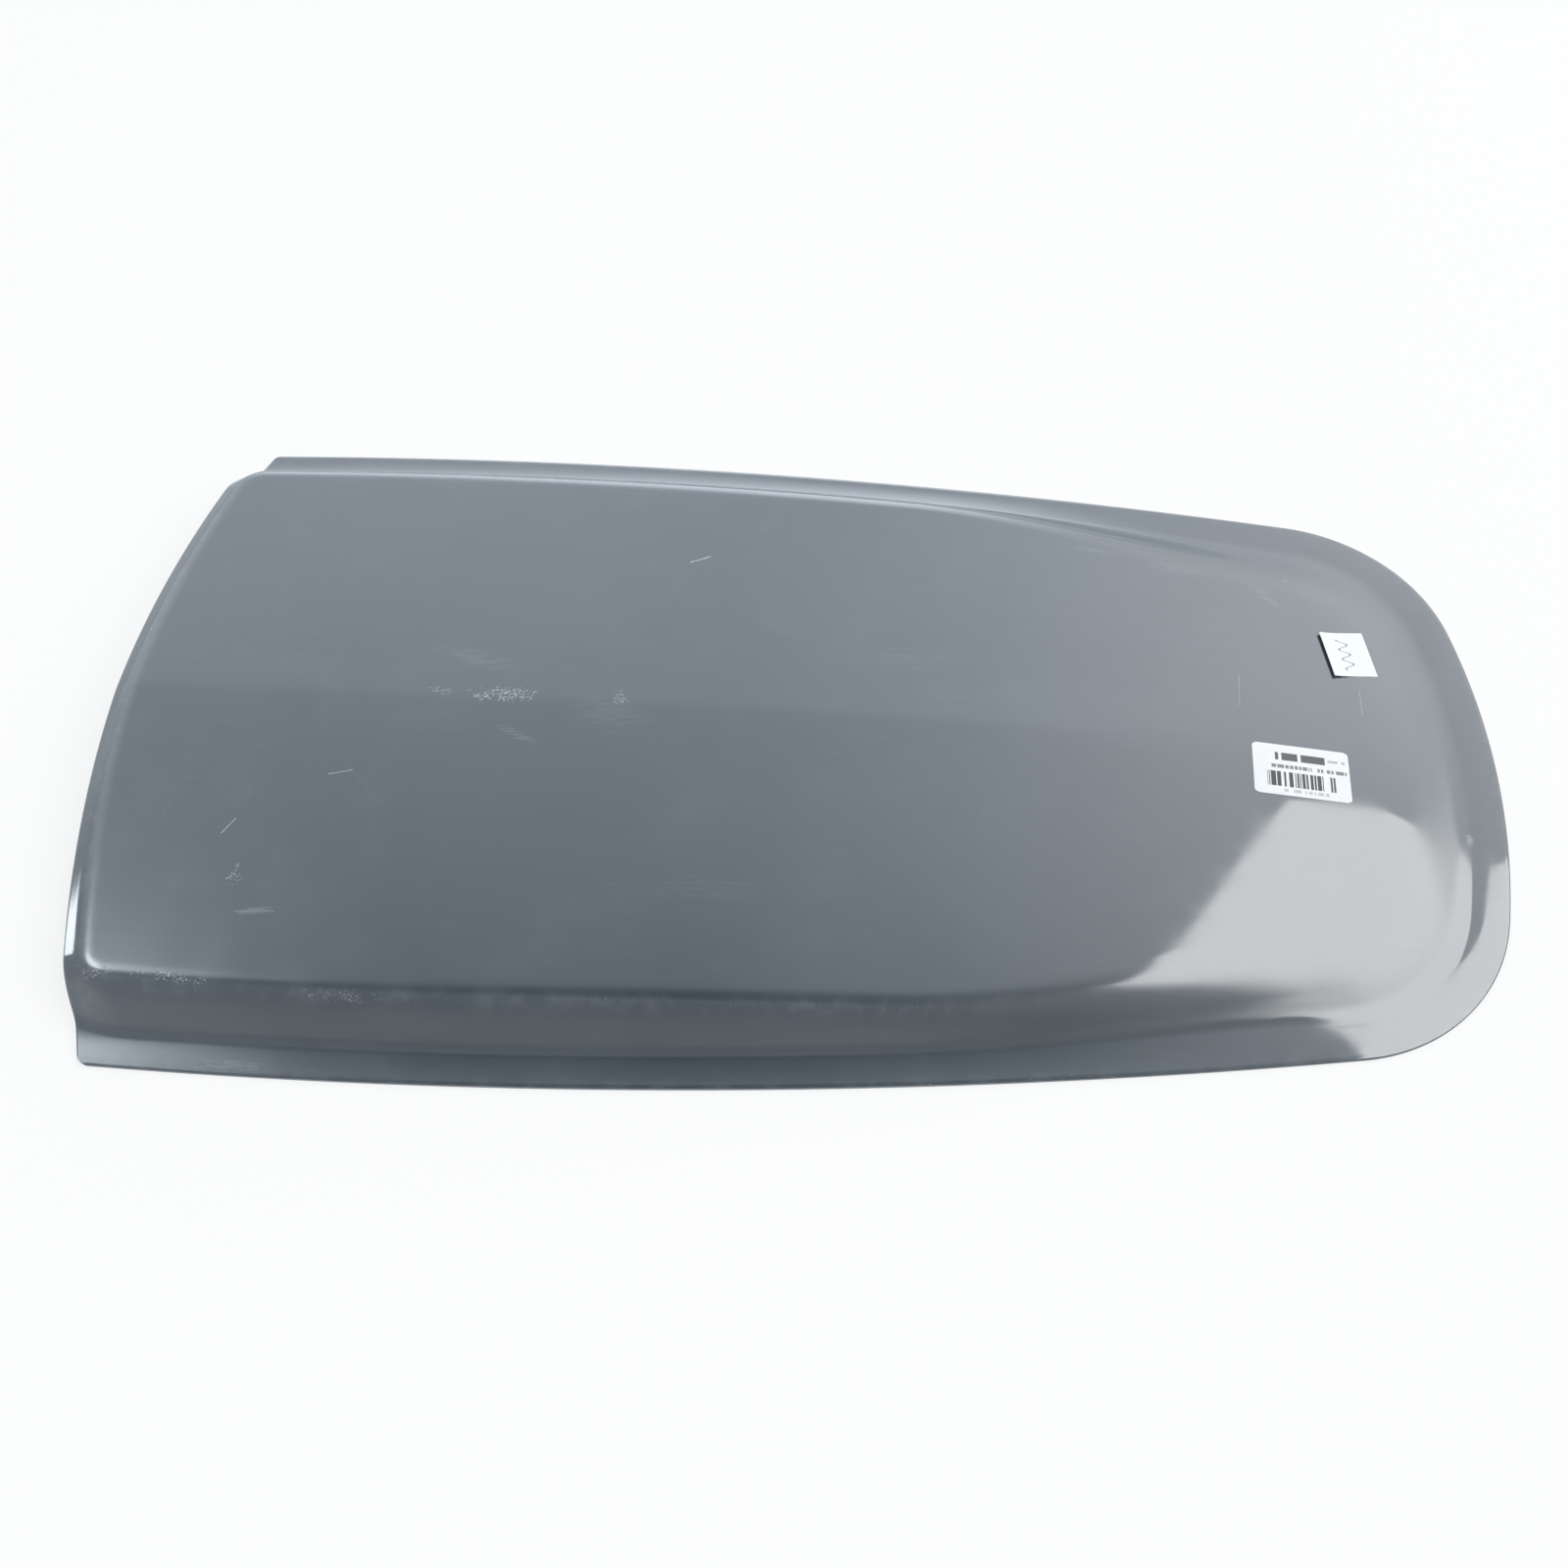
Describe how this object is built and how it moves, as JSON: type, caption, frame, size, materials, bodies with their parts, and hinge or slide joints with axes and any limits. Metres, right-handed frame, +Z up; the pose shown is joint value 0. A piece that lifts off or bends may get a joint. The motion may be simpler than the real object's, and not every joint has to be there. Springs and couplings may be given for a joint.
{
  "type": "bonnet scoop",
  "caption": "Moulded glass-fibre bonnet scoop: a low crowned shell with a wide bowed mouth, steep side walls that fade to a rounded tail, and a flat flange for bonding to a bonnet.",
  "frame": {"origin": "under the middle of the shell, on the plane of the bonding flange's underside", "axes": "+X from the mouth back to the tail, +Y across, +Z up from the bonnet"},
  "size_m": [0.79, 0.426, 0.042],
  "materials": {
    "gelcoat": "slate-grey primer gelcoat, satin to semi-gloss, lightly rubbed and scuffed"
  },
  "bodies": {
    "root": {"scoop_shell": "gelcoat"}
  },
  "joints": []
}
